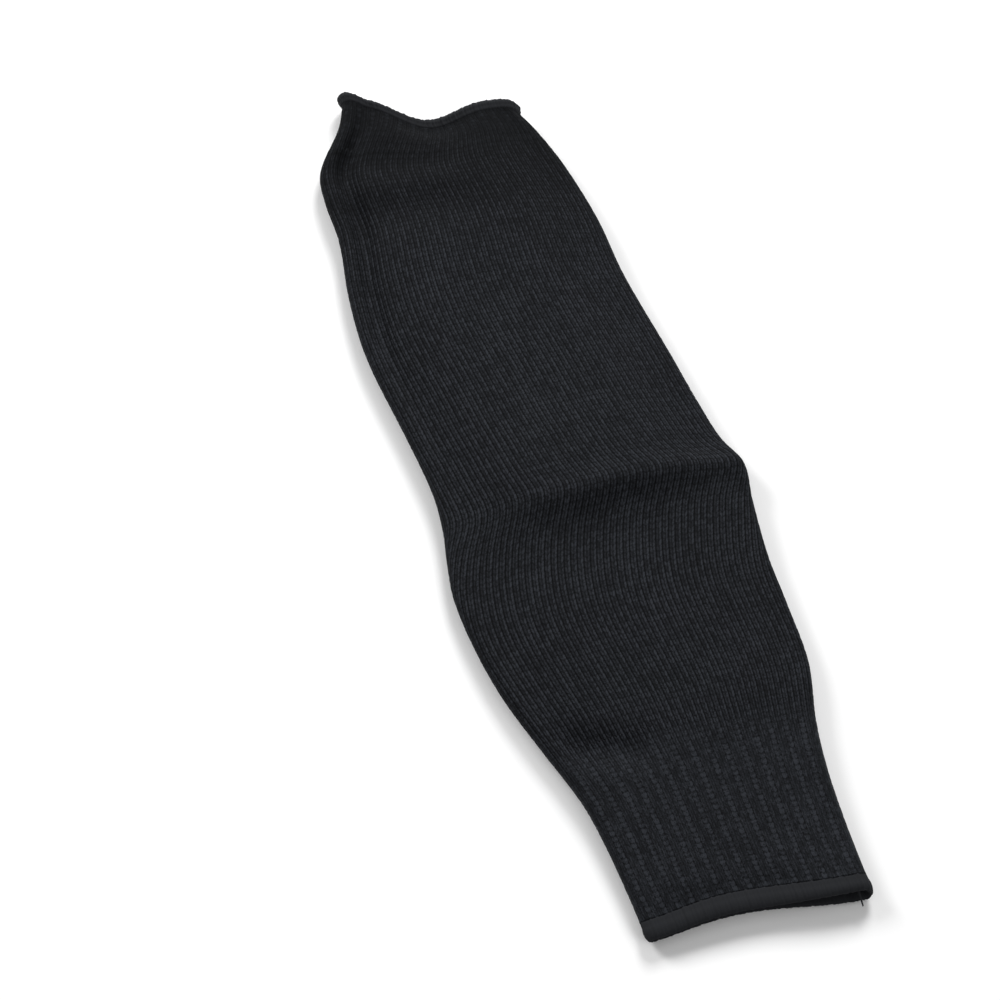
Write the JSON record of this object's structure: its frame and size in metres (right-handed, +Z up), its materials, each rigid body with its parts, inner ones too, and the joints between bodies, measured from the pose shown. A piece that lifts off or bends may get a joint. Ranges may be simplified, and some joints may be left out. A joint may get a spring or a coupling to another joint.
{
  "type": "cut resistant sleeve",
  "caption": "Knitted protective arm sleeve lying flat: a hollow seamless tube with a long ribbed wrist cuff, a fold across it and rolled edges.",
  "frame": {"origin": "on the resting surface, under the middle of the sleeve's outline", "axes": "+Y along the sleeve from the wrist cuff to the upper end, +X to the right as seen from above with the upper end away, +Z up from the surface"},
  "size_m": [0.137, 0.4274, 0.0231],
  "materials": {
    "plain_knit": "matte charcoal jersey knit of heavy smooth yarn",
    "ribbed_knit": "matte charcoal rib knit, two wales out and one in",
    "overlocked_edge": "smooth rolled edge wrapped in fine charcoal thread"
  },
  "bodies": {
    "root": {"wrist_welt": "overlocked_edge", "wrist_cuff": "ribbed_knit", "arm_body": "plain_knit", "upper_rib": "ribbed_knit", "upper_welt": "overlocked_edge"}
  },
  "joints": []
}
